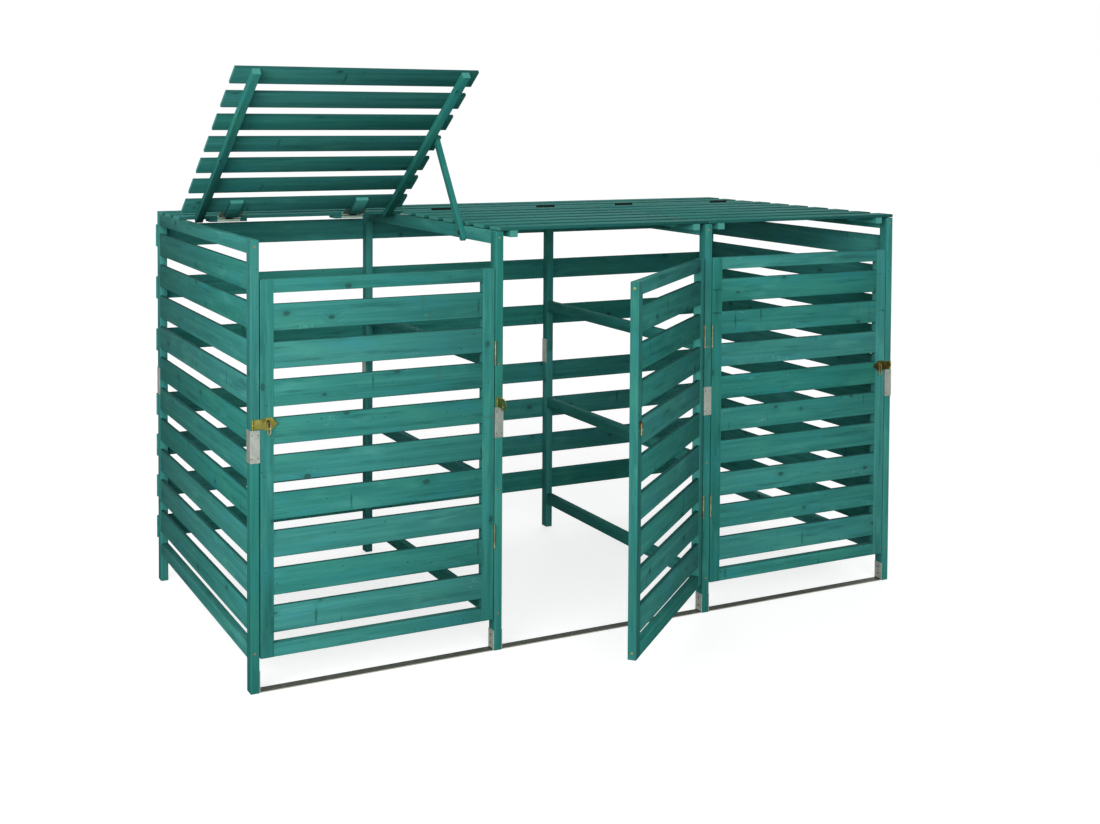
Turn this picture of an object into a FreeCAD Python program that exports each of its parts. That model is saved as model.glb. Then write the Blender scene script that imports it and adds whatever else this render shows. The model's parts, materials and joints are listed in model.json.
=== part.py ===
import FreeCAD
import Part
import Sketcher
import math
import os
from types import SimpleNamespace

# Timber store for three pairs of wheeled refuse bins: four post frames side by side make
# three bays, each with a slatted door in front and a slatted lid that a stick holds open.
# Millimetres. X runs to the right along the front, Y to the rear, Z up.
# The origin is on the ground, midway along the front, in the middle of the front posts' depth.

os.makedirs("parts", exist_ok=True)
doc = FreeCAD.newDocument("bin_store")

SIZES = {
    "bay_pitch": 740,  # post centre to post centre
    "post_width": 25,  # posts and rails, seen from the front
    "post_depth": 38,  # posts, seen from the side
    "post_height": 1255,
    "store_depth": 1135,  # front of the front posts to rear of the rear posts
    "splice_height": 686.5,  # joint of each post's two lengths
    "splice_length": 91,  # steel sleeve round that joint
    "board_width": 75,  # every slat and board
    "board_thick": 10,
    "arris": 1.2,  # eased long edges of the timber
    "rail_height": 38,
    "rail_clear": 92,  # ground to the lowest rails
    "side_top_gap": 26,  # top rail to the first side slat
    "side_low_gap": 41,  # last side slat to the bottom rail
    "back_step": 141,  # pitch of the lower back boards
    "back_overhang": 3,
    "door_clear": 95,  # ground to the doors
    "door_head": 109,  # top of the doors to the post tops
    "door_thick": 25,
    "door_gap": 3,  # door edge to post
    "stile_width": 38,
    "infill_thick": 12,  # door slats
    "door_open": 42,  # degrees, middle door
    "door_hinge_inset": 251,  # hinge centre to the end of the door
    "door_hinge_length": 72,
    "lid_open": 35,  # degrees, left lid
    "lid_clear": 2,  # lid boards above the post tops
    "lid_split": 3,  # lid to lid
    "batten_width": 25,
    "batten_height": 20,
    "batten_inset": 22,  # rail face to batten
    "lid_hinge_inset": 163,  # hinge centre to the lid's side edge
    "lid_hinge_length": 75,
    "prop_width": 20,
    "prop_thick": 15,
    "hasp_open": 93,  # degrees, middle hasp
    "hasp_length": 70.7,  # knuckle to point
    "hasp_height": 27,  # knuckle length
    "slot_reach": 46,  # knuckle to the slot's centre
    "sheet_steel": 1.5,  # sleeves, leaves and straps
    "sill_thick": 2.5,
    "sill_tab": 60,  # bent-up ends of the sills
}

sheet = doc.addObject("Spreadsheet::Sheet", "Sizes")
for line, (word, value) in enumerate(SIZES.items(), 1):
    sheet.set(f"A{line}", word)
    sheet.set(f"B{line}", str(value))
    sheet.setAlias(f"B{line}", word)
doc.recompute()


class Term:
    """A size that knows its value and the expression that ties it to the sheet."""

    def __init__(self, value, text):
        self.value = float(value)
        self.text = text

    def __add__(self, other):
        other = term(other)
        return Term(self.value + other.value, f"({self.text} + {other.text})")

    def __sub__(self, other):
        other = term(other)
        return Term(self.value - other.value, f"({self.text} - {other.text})")

    def __mul__(self, other):
        other = term(other)
        return Term(self.value * other.value, f"({self.text} * {other.text})")

    def __truediv__(self, other):
        other = term(other)
        return Term(self.value / other.value, f"({self.text} / {other.text})")

    def __rsub__(self, other):
        return term(other) - self

    def __neg__(self):
        return term(0) - self

    __radd__ = __add__
    __rmul__ = __mul__


def term(number):
    if isinstance(number, Term):
        return number
    return Term(number, f"({number})")


def sine(angle):
    return Term(math.sin(math.radians(angle.value)), f"sin({angle.text})")


def cosine(angle):
    return Term(math.cos(math.radians(angle.value)), f"cos({angle.text})")


def bind(item, **sizes):
    for name, size in sizes.items():
        item.setExpression(name.replace("__", "."), term(size).text)
    return item


def locate(item, point, path="Placement.Base"):
    for letter, size in zip("xyz", point):
        item.setExpression(f"{path}.{letter}", term(size).text)
    return item


def swing(item, origin, turn, angle=0):
    """Puts a piece drawn about its own hinge axis in place, turned by the angle about it."""
    where = "; ".join(term(size).text for size in origin)
    about = "; ".join(str(number) for number in turn)
    rule = f"placement(vector({where}); rotation(vector({about}); {term(angle).text}))"
    item.setExpression("Placement", rule)
    return item


nodes = []


def node(item, label):
    item.Label = label
    nodes.append(item)
    return item


def new_body(name):
    return doc.addObject("PartDesign::Body", name)


def origin_part(body, role):
    return next(part for part in body.Origin.OriginFeatures if part.Role == role)


def new_sketch(body, role, offset):
    sketch = body.newObject("Sketcher::SketchObject", "Profile")
    sketch.AttachmentSupport = [(origin_part(body, role), "")]
    sketch.MapMode = "FlatFace"
    return locate(sketch, offset, "AttachmentOffset.Base")


def closed_lines(sketch, points):
    first = sketch.GeometryCount
    count = len(points)
    spots = [FreeCAD.Vector(x, y, 0) for x, y in points]
    for i in range(count):
        sketch.addGeometry(Part.LineSegment(spots[i], spots[(i + 1) % count]))
    for i in range(count):
        sketch.addConstraint(
            Sketcher.Constraint("Coincident", first + i, 2, first + (i + 1) % count, 1)
        )
    return first


def driven(sketch, kind, refs, size):
    index = sketch.addConstraint(Sketcher.Constraint(kind, *refs, size.value))
    sketch.setExpression(f"Constraints[{index}]", size.text)


def outline(sketch, points):
    """Closed polygon with every corner dimensioned from the sketch's own origin."""
    points = [(term(x), term(y)) for x, y in points]
    first = closed_lines(sketch, [(x.value, y.value) for x, y in points])
    for i, (x, y) in enumerate(points):
        driven(sketch, "DistanceX", (-1, 1, first + i, 1), x)
        if y.text == "(0)":
            sketch.addConstraint(Sketcher.Constraint("PointOnObject", first + i, 1, -1))
        else:
            driven(sketch, "DistanceY", (-1, 1, first + i, 1), y)


def sawn_section(sketch, wide, high):
    """Rectangle with its four corners eased, its lower left corner at the sketch's origin."""
    ease, w, h = dims.arris.value, wide.value, high.value
    closed_lines(
        sketch,
        [(ease, 0), (w - ease, 0), (w, ease), (w, h - ease)]
        + [(w - ease, h), (ease, h), (0, h - ease), (0, ease)],
    )
    sketch.addConstraint(Sketcher.Constraint("PointOnObject", 0, 1, -1))
    sketch.addConstraint(Sketcher.Constraint("PointOnObject", 6, 1, -2))
    for flat in (0, 4):
        sketch.addConstraint(Sketcher.Constraint("Horizontal", flat))
    for upright in (2, 6):
        sketch.addConstraint(Sketcher.Constraint("Vertical", upright))
    driven(sketch, "DistanceX", (6, 1, 2, 1), wide)
    driven(sketch, "DistanceY", (0, 1, 4, 1), high)
    for corner, sign_x, sign_y in ((1, 1, 1), (3, -1, 1), (5, -1, -1), (7, 1, -1)):
        driven(sketch, "DistanceX", (corner, 1, corner, 2), dims.arris * sign_x)
        driven(sketch, "DistanceY", (corner, 1, corner, 2), dims.arris * sign_y)


def timber(body, grain, corner, extent):
    """One straight length of timber: its section padded along the grain's direction."""
    x, y, z = (term(size) for size in corner)
    long_x, long_y, long_z = (term(size) for size in extent)
    role, offset, wide, high, length = {
        "X": ("YZ_Plane", (y, z, x), long_y, long_z, long_x),
        "Y": ("XZ_Plane", (x, z, -y), long_x, long_z, long_y),
        "Z": ("XY_Plane", (x, y, z), long_x, long_y, long_z),
    }[grain]
    sketch = new_sketch(body, role, offset)
    sawn_section(sketch, wide, high)
    pad = body.newObject("PartDesign::Pad", "Length")
    pad.Profile = sketch
    pad.Reversed = grain == "Y"
    return bind(pad, Length=length)


def repeat(body, feature, axis, step, count, downward=False):
    pattern = body.newObject("PartDesign::LinearPattern", "Row")
    pattern.Originals = [feature]
    pattern.Direction = (origin_part(body, f"{axis}_Axis"), [""])
    pattern.Reversed = downward
    pattern.Occurrences = count
    body.Tip = pattern
    return bind(pattern, Length=step * (count - 1))


def box(corner, extent):
    item = doc.addObject("Part::Box", "Bar")
    bind(item, Length=extent[0], Width=extent[1], Height=extent[2])
    return locate(item, corner)


TURN_TO = {
    "X": FreeCAD.Rotation(FreeCAD.Vector(0, 1, 0), 90),
    "Y": FreeCAD.Rotation(FreeCAD.Vector(1, 0, 0), -90),
    "Z": FreeCAD.Rotation(),
}


def rod(start, axis, radius, length):
    item = doc.addObject("Part::Cylinder", "Rod")
    item.Placement.Rotation = TURN_TO[axis]
    bind(item, Radius=radius, Height=length)
    return locate(item, start)


def hexagon(start, axis, corner_radius, length):
    item = doc.addObject("Part::Prism", "Head")
    item.Polygon = 6
    item.Placement.Rotation = TURN_TO[axis]
    bind(item, Circumradius=corner_radius, Height=length)
    return locate(item, start)


def fuse(*items):
    item = doc.addObject("Part::MultiFuse", "Joined")
    item.Shapes = list(items)
    item.Refine = True
    return item


def cut(base, tool):
    item = doc.addObject("Part::Cut", "Bored")
    item.Base = base
    item.Tool = tool
    item.Refine = True
    return item


def group(*items):
    item = doc.addObject("Part::Compound", "Set")
    item.Links = list(items)
    return item


def along(point, axis, amount):
    moved = list(point)
    moved["XYZ".index(axis)] = moved["XYZ".index(axis)] + amount
    return tuple(moved)


KNUCKLE_GAP = 0.3  # end play between knuckles


def outer_knuckles(start, axis, length, radius, *leaves):
    """Hinge half with the two end knuckles."""
    third = length / 3
    end = third - KNUCKLE_GAP
    far = along(start, axis, third * 2 + KNUCKLE_GAP)
    return fuse(rod(start, axis, radius, end), rod(far, axis, radius, end), *leaves)


def middle_knuckle(start, axis, length, radius, *leaves):
    """Hinge half with the knuckle between the other half's two."""
    third = length / 3
    return fuse(rod(along(start, axis, third), axis, radius, third), *leaves)


dims = SimpleNamespace(**{word: Term(value, f"Sizes.{word}") for word, value in SIZES.items()})
steel = dims.sheet_steel

BAYS = range(3)
POSTS = range(4)
SIDES = ("left", "middle", "right")

half_width = dims.bay_pitch * 1.5 + dims.post_width / 2
front = dims.post_depth / -2
rear = front + dims.store_depth
between_y = front + dims.post_depth
between_length = dims.store_depth - dims.post_depth * 2


def post_x(i):
    """Left face of a post frame, counted from the left."""
    return dims.bay_pitch * (i - 1.5) - dims.post_width / 2


# Posts: two lengths end to end, with a saw-cut's gap at the joint inside the sleeve.
SAW_CUT = 0.4
for row_name, post_y in (("front", front), ("rear", rear - dims.post_depth)):
    for i in POSTS:
        body = new_body("Post")
        lower = (dims.post_width, dims.post_depth, dims.splice_height - SAW_CUT)
        upper = (dims.post_width, dims.post_depth, dims.post_height - dims.splice_height)
        timber(body, "Z", (post_x(i), post_y, 0), lower)
        timber(body, "Z", (post_x(i), post_y, dims.splice_height), upper)
        node(body, f"post_{row_name}_{i + 1}")

# Sleeves of folded steel round the post joints, closed on the outer side.
splice_low = dims.splice_height - dims.splice_length / 2
splice_top = splice_low + dims.splice_length
for row_name, web, inner in (("front", front, 1), ("rear", rear, -1)):
    body = new_body("Sleeve")
    sketch = new_sketch(body, "XY_Plane", (0, 0, splice_low))
    left, right = post_x(0), post_x(0) + dims.post_width
    face, edge = web - steel * inner, web + (dims.post_depth - 4) * inner
    outline(
        sketch,
        [(left - steel, face), (right + steel, face), (right + steel, edge), (right, edge)]
        + [(right, web), (left, web), (left, edge), (left - steel, edge)],
    )
    pad = body.newObject("PartDesign::Pad", "Height")
    pad.Profile = sketch
    bind(pad, Length=dims.splice_length)
    repeat(body, pad, "X", dims.bay_pitch, 4)
    node(body, f"splice_sleeves_{row_name}")

# Side panels: a rail at the top and the bottom, ten slats flush with the outer faces.
top_rail = dims.post_height - dims.rail_height
rail = (dims.post_width, between_length, dims.rail_height)
slat = (dims.board_thick, between_length, dims.board_width)
SIDE_SLATS = 10
slat_low = dims.rail_clear + dims.rail_height + dims.side_low_gap
slat_step = (top_rail - dims.side_top_gap - dims.board_width - slat_low) / (SIDE_SLATS - 1)
for side, x, slat_x in (
    ("left", post_x(0), post_x(0)),
    ("right", post_x(3), half_width - dims.board_thick),
):
    body = new_body("Rails")
    pad = timber(body, "Y", (x, between_y, dims.rail_clear), rail)
    repeat(body, pad, "Z", top_rail - dims.rail_clear, 2)
    node(body, f"side_rails_{side}")
    body = new_body("Slats")
    pad = timber(body, "Y", (slat_x, between_y, slat_low), slat)
    repeat(body, pad, "Z", slat_step, SIDE_SLATS)
    node(body, f"side_slats_{side}")

# Open partitions between the bays: four rails each.
for name, i in (("left", 1), ("right", 2)):
    body = new_body("Rails")
    pad = timber(body, "Y", (post_x(i), between_y, dims.rail_clear), rail)
    repeat(body, pad, "Z", (top_rail - dims.rail_clear) / 3, 4)
    node(body, f"partition_rails_{name}")

# Back wall: four boards below the post joints and three above.
body = new_body("Boards")
board = (half_width * 2 + dims.back_overhang * 2, dims.board_thick, dims.board_width)
back_x = -(half_width + dims.back_overhang)
low_board = splice_low - 1 - dims.board_width
UPPER_GAP = 55  # post joint to the boards above it
TOP_GAP = 36  # top board to the post tops
high_board = splice_top + UPPER_GAP
high_step = (dims.post_height - TOP_GAP - dims.board_width - high_board) / 2
pad = timber(body, "X", (back_x, rear, low_board), board)
repeat(body, pad, "Z", dims.back_step, 4, downward=True)
pad = timber(body, "X", (back_x, rear, high_board), board)
repeat(body, pad, "Z", high_step, 3)
node(body, "back_boards")

# Roof: ten boards at one pitch from front to rear. Seven belong to the lids, three are fixed.
ROOF_BOARDS = 10
LID_BOARDS = 7
roof_step = (dims.store_depth - dims.board_width) / (ROOF_BOARDS - 1)
fixed_y = front + roof_step * LID_BOARDS
body = new_body("Boards")
fixed_board = (half_width * 2, dims.board_width, dims.board_thick)
pad = timber(body, "X", (-half_width, fixed_y, dims.post_height), fixed_board)
repeat(body, pad, "Y", roof_step, ROOF_BOARDS - LID_BOARDS)
node(body, "roof_boards")

# Sills: flat steel on the ground between the front posts, its ends bent up against them.
body = new_body("Sill")
sill_y = front + 2
sketch = new_sketch(body, "XZ_Plane", (0, 0, -sill_y))
left, right = post_x(0) + dims.post_width, post_x(1)
inset, tab = dims.sill_thick, dims.sill_tab
outline(
    sketch,
    [(left, 0), (right, 0), (right, tab), (right - inset, tab)]
    + [(right - inset, inset), (left + inset, inset), (left + inset, tab), (left, tab)],
)
pad = body.newObject("PartDesign::Pad", "Width")
pad.Profile = sketch
pad.Reversed = True
bind(pad, Length=dims.post_depth - 4)
repeat(body, pad, "X", dims.bay_pitch, 3)
node(body, "sills")

# Lids. Each is drawn closed about its own hinge axis, which lies in front of the first
# fixed roof board: local y is negative towards the front, local z is up.
LID_KNUCKLE = 4
AXIS_RISE = 3  # hinge axis above the post tops
AXIS_SET = 4.4  # hinge axis in front of the fixed board's edge
BLOCK_THICK = 10
BLOCK_WIDTH = 122  # block under the fixed board at a hinge
BLOCK_DEPTH = 60
LID_BLOCK_THICK = 12
LID_BLOCK_WIDTH = 44
LID_BLOCK_TAIL = 16  # reach of a lid's block behind the last slat
BATTEN_END = 9  # hinge axis to the battens' ends
lid_axis = (term(0), fixed_y - AXIS_SET, dims.post_height + AXIS_RISE)
under = dims.lid_clear - AXIS_RISE
free_edge = front - lid_axis[1]
last_slat = free_edge + roof_step * (LID_BOARDS - 1)
last_edge = last_slat + dims.board_width
lid_edges = [-half_width]
for i in (1, 2):
    lid_edges.append(post_x(i) + dims.post_width / 2)
lid_edges.append(half_width)
lid_turn = (-1, 0, 0)
lid_angle = (dims.lid_open, 0, 0)
fixed_leaves = []
fixed_blocks = []
for i in BAYS:
    left = lid_edges[i] + (dims.lid_split / 2 if i > 0 else 0)
    right = lid_edges[i + 1] - (dims.lid_split / 2 if i < 2 else 0)
    carried = []
    body = new_body("Boards")
    extent = (right - left, dims.board_width, dims.board_thick)
    pad = timber(body, "X", (left, free_edge, under), extent)
    repeat(body, pad, "Y", roof_step, LID_BOARDS)
    carried.append((body, "boards"))
    # Two battens under the boards, clear of the rails and of the folded stick.
    inner_left = post_x(i) + dims.post_width + dims.batten_inset
    inner_right = post_x(i + 1) - dims.batten_inset - dims.batten_width
    body = new_body("Battens")
    extent = (dims.batten_width, -BATTEN_END - free_edge, dims.batten_height)
    pad = timber(body, "Y", (inner_left, free_edge, under - dims.batten_height), extent)
    repeat(body, pad, "X", inner_right - inner_left, 2)
    carried.append((body, "battens"))
    # Hinges: the leaf on the lid lies on a block that reaches back from under the last
    # slat, the other stands against the fixed board's edge and the block under it.
    length, third = dims.lid_hinge_length, dims.lid_hinge_length / 3
    lid_blocks = []
    lid_leaves = []
    for centre in (left + dims.lid_hinge_inset, right - dims.lid_hinge_inset):
        start = (centre - length / 2, term(0), term(0))
        lid_blocks.append(
            box(
                (centre - LID_BLOCK_WIDTH / 2, last_slat + 2, under - LID_BLOCK_THICK),
                (LID_BLOCK_WIDTH, dims.board_width + LID_BLOCK_TAIL - 2, LID_BLOCK_THICK),
            )
        )
        clear = LID_KNUCKLE + 0.4
        lid_leaves.append(
            middle_knuckle(
                start,
                "X",
                length,
                LID_KNUCKLE,
                box((start[0], last_edge + 0.8, under), (length, -clear - 0.8 - last_edge, steel)),
                box((start[0] + third, -clear, under), (third, clear, steel)),
            )
        )
        y, z = lid_axis[1], lid_axis[2]
        board_edge = y + AXIS_SET
        leaf_y = board_edge - steel
        leaf_low = dims.post_height - BLOCK_THICK
        leaf_step = z - clear
        leaf_top = dims.post_height + dims.board_thick
        end = third - KNUCKLE_GAP
        fixed_blocks.append(
            box(
                (centre - BLOCK_WIDTH / 2, board_edge, leaf_low),
                (BLOCK_WIDTH, BLOCK_DEPTH, BLOCK_THICK),
            )
        )
        fixed_leaves.append(
            outer_knuckles(
                (start[0], y, z),
                "X",
                length,
                LID_KNUCKLE,
                box((start[0], leaf_y, leaf_low), (length, steel, leaf_step - leaf_low)),
                box((start[0], leaf_y, leaf_step), (end, steel, leaf_top - leaf_step)),
                box(
                    (start[0] + third * 2 + KNUCKLE_GAP, leaf_y, leaf_step),
                    (end, steel, leaf_top - leaf_step),
                ),
            )
        )
    carried.append((group(*lid_blocks), "hinge_blocks"))
    carried.append((group(*lid_leaves), "hinge_leaves"))
    for item, name in carried:
        swing(item, lid_axis, lid_turn, lid_angle[i])
        node(item, f"lid_{SIDES[i]}_{name}")
node(group(*fixed_blocks), "roof_hinge_blocks")
node(group(*fixed_leaves), "roof_hinge_leaves")

# Stick that holds a lid: it turns on a bolt in the rail at the bay's right. Its notched end
# stands square under the fourth board, with a tongue in front of that board's upper edge.
# The notch has play, so that the stick falls back freely once the lid is lifted off it.
# Raised under the left lid, folded back along the rail in the other two bays.
PROP_PIVOT = 3
PIVOT_PLAY = 0.05
PROP_TAIL = 18
TONGUE = 4
SHOULDER = 10
NOTCH_PLAY = 3.2
BOLT_CORNER = 6.5  # half the width of the bolt's head over its corners
pivot_z = dims.post_height - dims.rail_height / 2
reach = lid_axis[1] - (front + roof_step * 3) + NOTCH_PLAY - SHOULDER + dims.prop_width / 2
tip_z = lid_axis[2] + reach * sine(dims.lid_open) + (under - 0.3) * cosine(dims.lid_open)
tip_y = lid_axis[1] - reach * cosine(dims.lid_open) + (under - 0.3) * sine(dims.lid_open)
prop_length = (tip_z - pivot_z) / cosine(dims.lid_open)
pivot_y = tip_y - prop_length * sine(dims.lid_open)
low = dims.prop_width / -2
bolts = []
for i in BAYS:
    rail_face = post_x(i + 1)
    x = rail_face - 1.5 - dims.prop_thick
    stick = fuse(
        box((x, -PROP_TAIL, low), (dims.prop_thick, prop_length + PROP_TAIL, dims.prop_width)),
        box(
            (x, prop_length - 1, low + SHOULDER),
            (dims.prop_thick, TONGUE + 1, dims.prop_width - SHOULDER),
        ),
        rod((x, -PROP_TAIL, 0), "X", dims.prop_width / 2, dims.prop_thick),
    )
    hole = rod((x - 1, 0, 0), "X", PROP_PIVOT + PIVOT_PLAY, dims.prop_thick + 2)
    prop = cut(stick, hole)
    raised = 90 - dims.lid_open if i == 0 else 0
    swing(prop, (0, pivot_y, pivot_z), (1, 0, 0), raised)
    node(prop, f"prop_{SIDES[i]}")
    bolts.append(
        fuse(
            rod((x - 0.3, pivot_y, pivot_z), "X", PROP_PIVOT, dims.prop_thick + 1.8),
            hexagon((x - 3.3, pivot_y, pivot_z), "X", BOLT_CORNER, 3),
            hexagon((rail_face - 1.2, pivot_y, pivot_z), "X", BOLT_CORNER, 1.2),
        )
    )
node(group(*bolts), "prop_bolts")

# Doors. Each is drawn closed about its own hinge axis, which stands just in front of the
# gap between door and post. Left and middle doors hang on their right, the right one on
# its left.
DOOR_KNUCKLE = 3.2
LEAF = 1.2
LEAF_WIDTH = 18
DOOR_SLATS = 9
door_width = dims.bay_pitch - dims.post_width - dims.door_gap * 2
axis_y = front - DOOR_KNUCKLE - 0.2
door_face = front - axis_y
infill = door_width - dims.stile_width * 2
door_top = dims.post_height - dims.door_head
door_height = door_top - dims.door_clear
slat_gap = door_height - dims.rail_height * 2 - dims.board_width * DOOR_SLATS
slat_gap = slat_gap / (DOOR_SLATS + 1)
hinge_low = dims.door_clear + dims.door_hinge_inset - dims.door_hinge_length / 2
hinge_high = door_top - dims.door_hinge_inset - dims.door_hinge_length / 2
hasp_z = splice_top + 16


def hinge_leaf(axis_x, y, z, outward, turning):
    """One leaf of a door's butt hinge, folded into the gap on the named side of the axis."""
    length, third = dims.door_hinge_length, dims.door_hinge_length / 3
    x = axis_x + (dims.door_gap / 2 - LEAF if outward > 0 else dims.door_gap / -2)
    clear = DOOR_KNUCKLE + 0.4
    flat = box((x, y + clear, z), (LEAF, LEAF_WIDTH, length))
    start = (term(axis_x), term(y), z)
    if turning:
        root = box((x, y, z + third), (LEAF, clear, third))
        return middle_knuckle(start, "Z", length, DOOR_KNUCKLE, flat, root)
    end = third - KNUCKLE_GAP
    upper = z + third * 2 + KNUCKLE_GAP
    roots = [box((x, y, level), (LEAF, clear, end)) for level in (z, upper)]
    return outer_knuckles(start, "Z", length, DOOR_KNUCKLE, flat, *roots)


STAPLE_SETBACK = 4.9  # staple eye and link pin, in front of the door's face
EYE_RISE = 3  # staple eye above the hasp's middle
LINK_PIN = 1.4
LINK_PLAY = 0.05
LINK_BAR = 3  # side of a link's square bar
LINK_HALF = 4.3  # half the distance between the middles of a link's legs
LINK_DROP = 32.3  # link's pin to the middle of its lower bar
LINK_BEND = 3  # corners cut off outside
LINK_THROAT = 1.2  # corners cut off inside
post_leaves = []
door_angle = (0, dims.door_open, 0)
for i in BAYS:
    hand = -1 if i < 2 else 1  # the door reaches this way from its axis
    axis_x = post_x(i + 1) - dims.door_gap / 2 if i < 2 else (
        post_x(i) + dims.post_width + dims.door_gap / 2
    )
    near = dims.door_gap / 2

    def spot(distance, width):
        """Left edge, from the axis, of a piece that starts this far from the hinge edge."""
        if hand > 0:
            return near + distance
        return -(near + distance + width)

    carried = []
    stiles = new_body("Stiles")
    extent = (dims.stile_width, dims.door_thick, door_height)
    latch_stile = spot(door_width - dims.stile_width, dims.stile_width)
    hinge_stile = spot(0, dims.stile_width)
    first, other = (hinge_stile, latch_stile) if hand > 0 else (latch_stile, hinge_stile)
    pad = timber(stiles, "Z", (first, door_face, dims.door_clear), extent)
    repeat(stiles, pad, "X", other - first, 2)
    rails = new_body("Rails")
    extent = (infill, dims.door_thick, dims.rail_height)
    infill_x = spot(dims.stile_width, infill)
    pad = timber(rails, "X", (infill_x, door_face, dims.door_clear), extent)
    repeat(rails, pad, "Z", door_height - dims.rail_height, 2)
    carried.append((group(stiles, rails), "frame"))
    slats = new_body("Slats")
    lowest = dims.door_clear + dims.rail_height + slat_gap
    extent = (infill, dims.infill_thick, dims.board_width)
    pad = timber(slats, "X", (infill_x, door_face + 1, lowest), extent)
    repeat(slats, pad, "Z", dims.board_width + slat_gap, DOOR_SLATS)
    carried.append((slats, "slats"))
    leaves = [hinge_leaf(0, 0, z, hand, True) for z in (hinge_low, hinge_high)]
    carried.append((group(*leaves), "hinge_leaves"))
    post_leaves += [hinge_leaf(axis_x, axis_y, z, -hand, False) for z in (hinge_low, hinge_high)]
    # Staple on the latch stile: a plate with a bored lug that passes the hasp's slot.
    eye_x = (dims.slot_reach + 5 - dims.post_width - dims.door_gap) * hand * -1
    eye_x = eye_x + (door_width + near) * hand
    plate = box((eye_x - 13, door_face - 1.4, hasp_z - 11), (26, 1.4, 22))
    lug = box((eye_x - 1.8, door_face - 7.6, hasp_z - 2), (3.6, 7.6, 8))
    eye_y, eye_z = door_face - STAPLE_SETBACK, hasp_z + EYE_RISE
    eye = rod((eye_x - 3, eye_y, eye_z), "X", LINK_PIN + LINK_PLAY, 6)
    carried.append((cut(fuse(plate, lug), eye), "staple"))
    # Link that hangs from the lug: raised, it passes the slot; hanging, it bars it.
    wide, narrow = LINK_HALF + LINK_BAR / 2, LINK_HALF - LINK_BAR / 2
    top = eye_z + LINK_BAR / 2
    low_bar = top - LINK_DROP - LINK_BAR
    throat = low_bar + LINK_BAR
    bow = new_body("Bow")
    sketch = new_sketch(bow, "XZ_Plane", (0, 0, LINK_BAR / 2 - eye_y))
    outline(
        sketch,
        [
            (eye_x - wide, top),
            (eye_x - wide, low_bar + LINK_BEND),
            (eye_x - wide + LINK_BEND, low_bar),
            (eye_x + wide - LINK_BEND, low_bar),
            (eye_x + wide, low_bar + LINK_BEND),
            (eye_x + wide, top),
            (eye_x + narrow, top),
            (eye_x + narrow, throat + LINK_THROAT),
            (eye_x + narrow - LINK_THROAT, throat),
            (eye_x - narrow + LINK_THROAT, throat),
            (eye_x - narrow, throat + LINK_THROAT),
            (eye_x - narrow, top),
        ],
    )
    pad = bow.newObject("PartDesign::Pad", "Bar")
    pad.Profile = sketch
    pad.Reversed = True
    bind(pad, Length=LINK_BAR)
    pin = rod((eye_x - LINK_HALF, eye_y, eye_z), "X", LINK_PIN, LINK_HALF * 2)
    carried.append((fuse(bow, pin), "link"))
    for item, name in carried:
        swing(item, (axis_x, axis_y, 0), (0, 0, -hand), door_angle[i])
        node(item, f"door_{SIDES[i]}_{name}")
node(group(*post_leaves), "post_hinge_leaves")

# Hasps: a pointed strap with a slot, hinged on a leaf that it hides when it is closed.
# Each is drawn closed about its own knuckle on the post at the door's free edge.
HASP_KNUCKLE = 3
KNUCKLE_IN = 5  # knuckle axis inside the post's outer edge
hasp_y = front - 3.1
hasp_low = hasp_z - dims.hasp_height / 2
base_leaves = []
hasp_angle = (0, dims.hasp_open, 0)
for i in BAYS:
    hand = 1 if i < 2 else -1  # the strap reaches this way from its knuckle
    knuckle_x = post_x(i) + KNUCKLE_IN if i < 2 else post_x(3) + dims.post_width - KNUCKLE_IN
    length, third = dims.hasp_height, dims.hasp_height / 3
    clear = HASP_KNUCKLE + 0.4
    strap = new_body("Strap")
    sketch = new_sketch(strap, "XZ_Plane", (0, 0, 0))
    end, lobe = dims.hasp_height / 2, dims.hasp_height / 2 + 4
    slot, shoulder = dims.slot_reach, dims.slot_reach - 13
    outline(
        sketch,
        [
            (hand * clear, hasp_z - end),
            (hand * (shoulder - 6), hasp_z - end),
            (hand * shoulder, hasp_z - lobe),
            (hand * (slot + 7), hasp_z - lobe),
            (hand * dims.hasp_length, hasp_z - 2),
            (hand * dims.hasp_length, hasp_z + 2),
            (hand * (slot + 7), hasp_z + lobe),
            (hand * shoulder, hasp_z + lobe),
            (hand * (shoulder - 6), hasp_z + end),
            (hand * clear, hasp_z + end),
        ],
    )
    outline(
        sketch,
        [
            (hand * (slot - 6.5), hasp_z - 11),
            (hand * (slot + 6.5), hasp_z - 11),
            (hand * (slot + 6.5), hasp_z + 11),
            (hand * (slot - 6.5), hasp_z + 11),
        ],
    )
    pad = strap.newObject("PartDesign::Pad", "Thickness")
    pad.Profile = sketch
    pad.Reversed = True
    bind(pad, Length=steel)
    root_x = 0 if hand > 0 else -clear
    root = box((root_x, 0, hasp_low + third), (clear, steel, third))
    start = (term(0), term(0), hasp_low)
    hasp = middle_knuckle(start, "Z", length, HASP_KNUCKLE, strap, root)
    swing(hasp, (knuckle_x, hasp_y, 0), (0, 0, -hand), hasp_angle[i])
    node(hasp, f"hasp_{SIDES[i]}")
    flat_x = knuckle_x + (clear if hand > 0 else -19)
    flat = box((flat_x, front - LEAF, hasp_low), (19 - clear, LEAF, length))
    root_x = knuckle_x - (0 if hand > 0 else clear)
    levels = (hasp_low, hasp_low + third * 2 + KNUCKLE_GAP)
    roots = [box((root_x, front - LEAF, z), (clear, LEAF, third - KNUCKLE_GAP)) for z in levels]
    start = (knuckle_x, hasp_y, hasp_low)
    base_leaves.append(outer_knuckles(start, "Z", length, HASP_KNUCKLE, flat, *roots))
node(group(*base_leaves), "hasp_base_leaves")

doc.recompute()

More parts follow.
